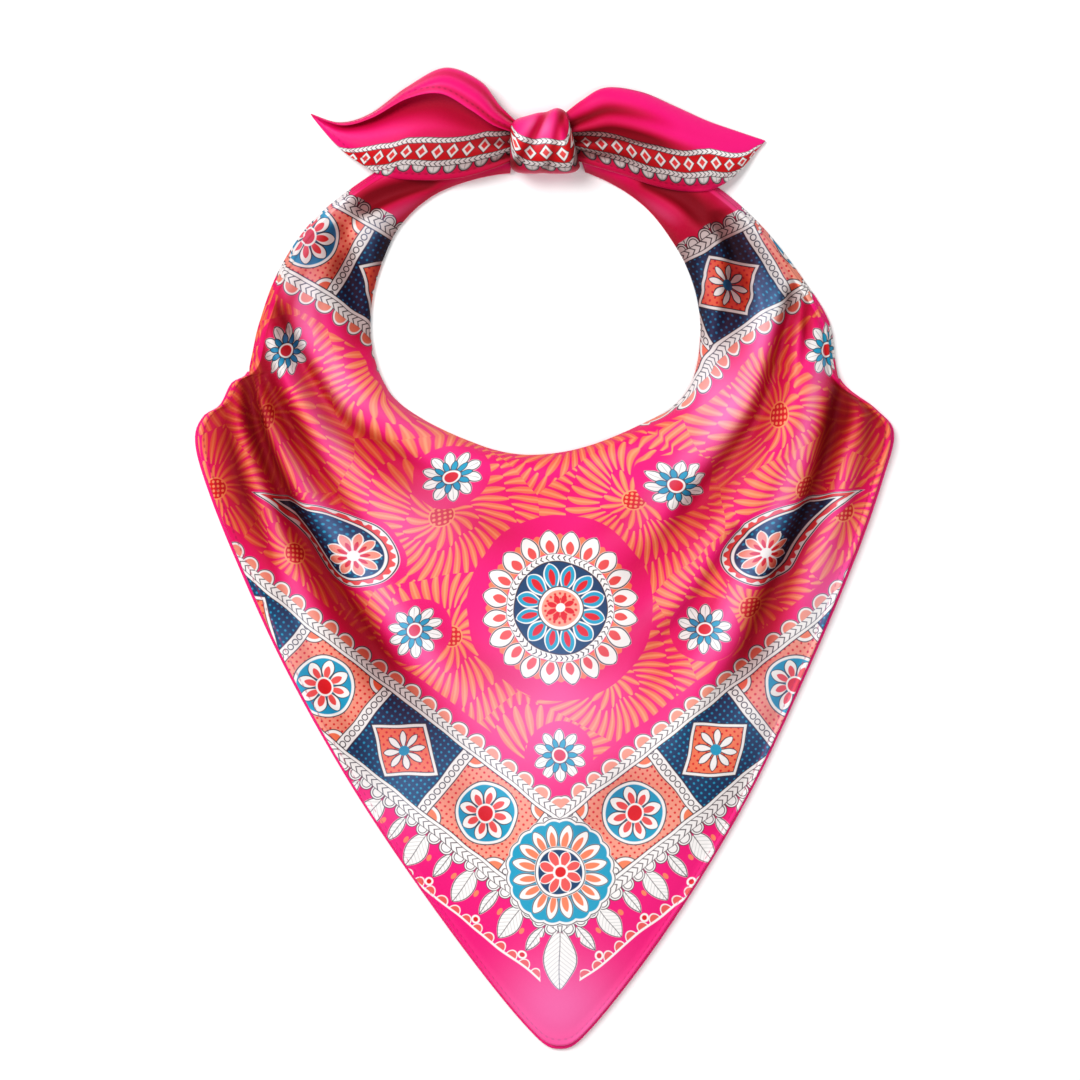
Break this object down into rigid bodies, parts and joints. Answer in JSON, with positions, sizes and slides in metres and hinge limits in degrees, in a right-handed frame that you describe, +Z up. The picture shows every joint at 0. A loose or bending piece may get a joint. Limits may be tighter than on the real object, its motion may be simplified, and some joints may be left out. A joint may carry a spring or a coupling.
{
  "type": "silk square scarf",
  "caption": "Silk square scarf folded to a triangle, rolled round the neck and tied behind with two pointed tails, laid flat.",
  "frame": {"origin": "middle of the laid scarf's box in plan, on the surface that it lies on", "axes": "+Z up from the surface, +Y from the long corner to the knot, +X to the right as the knot's side is up"},
  "size_m": [0.2944, 0.413, 0.0213],
  "materials": {
    "silk_print": "silk twill with a soft satin gloss, printed with a fine many-coloured design on hot pink",
    "silk_plain": "the same silk twill where only its plain pink border shows"
  },
  "bodies": {
    "root": {"front_drape": "silk_print", "band_left": "silk_print", "band_right": "silk_print", "tail_left_front": "silk_print", "tail_right_front": "silk_print", "knot": "silk_print", "under_ply": "silk_plain", "tail_left_back": "silk_plain", "tail_right_back": "silk_plain"}
  },
  "joints": []
}
